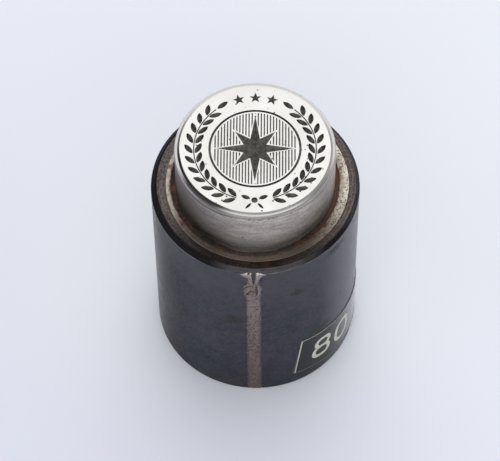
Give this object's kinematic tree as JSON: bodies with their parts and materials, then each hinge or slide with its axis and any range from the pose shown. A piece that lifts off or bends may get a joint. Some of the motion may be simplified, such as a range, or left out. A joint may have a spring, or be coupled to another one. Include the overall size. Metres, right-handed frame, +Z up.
{
  "type": "embossing die",
  "caption": "Round steel embossing die: a blackened tube sleeve holds a stepped bright insert with a polished engraved face plate, clamped down from below by a socket screw.",
  "frame": {"origin": "middle of the foot, on the surface that the die stands on", "axes": "+Z up along the die's axis to the engraved face, -Y towards the weld seam, which marks the front of the design"},
  "size_m": [0.0502, 0.0499, 0.0717],
  "materials": {
    "blackened_steel": "blackened, satin, worn at the rim",
    "weld_metal": "ground flush, brown and grainy",
    "plain_steel": "turned",
    "hardened_steel": "ground",
    "turned_steel": "fine turned, rusty at the root of the neck",
    "polished_steel": "polished, with dark engraving",
    "screw_steel": "black oxide",
    "tape_plastic": "glossy tape with pale print"
  },
  "bodies": {
    "holder": {"outer_sleeve": "blackened_steel", "seam_weld": "weld_metal", "base_block": "plain_steel", "backing_disc": "hardened_steel", "locating_dowel": "hardened_steel", "label_tape": "tape_plastic"},
    "die": {"die_insert": "turned_steel", "seal_plate": "polished_steel"},
    "washer": {"lock_washer": "screw_steel"},
    "screw": {"clamp_screw": "screw_steel"}
  },
  "joints": [
    {"name": "die_lift", "type": "slide", "parent": "holder", "child": "die", "axis": [0, 0, 1], "range_m": [0, 0.03]},
    {"name": "screw_travel", "type": "slide", "parent": "holder", "child": "washer", "axis": [0, 0, -1], "range_m": [0, 0.015]},
    {"name": "screw_turn", "type": "hinge", "parent": "washer", "child": "screw", "pos_m": [0, 0, 0.0068], "axis": [0, 0, -1], "range_deg": [0, 3600]}
  ],
  "couplings": [
    {"joint": "screw_turn", "follows": "screw_travel", "rad_per_m": 4188.8}
  ]
}
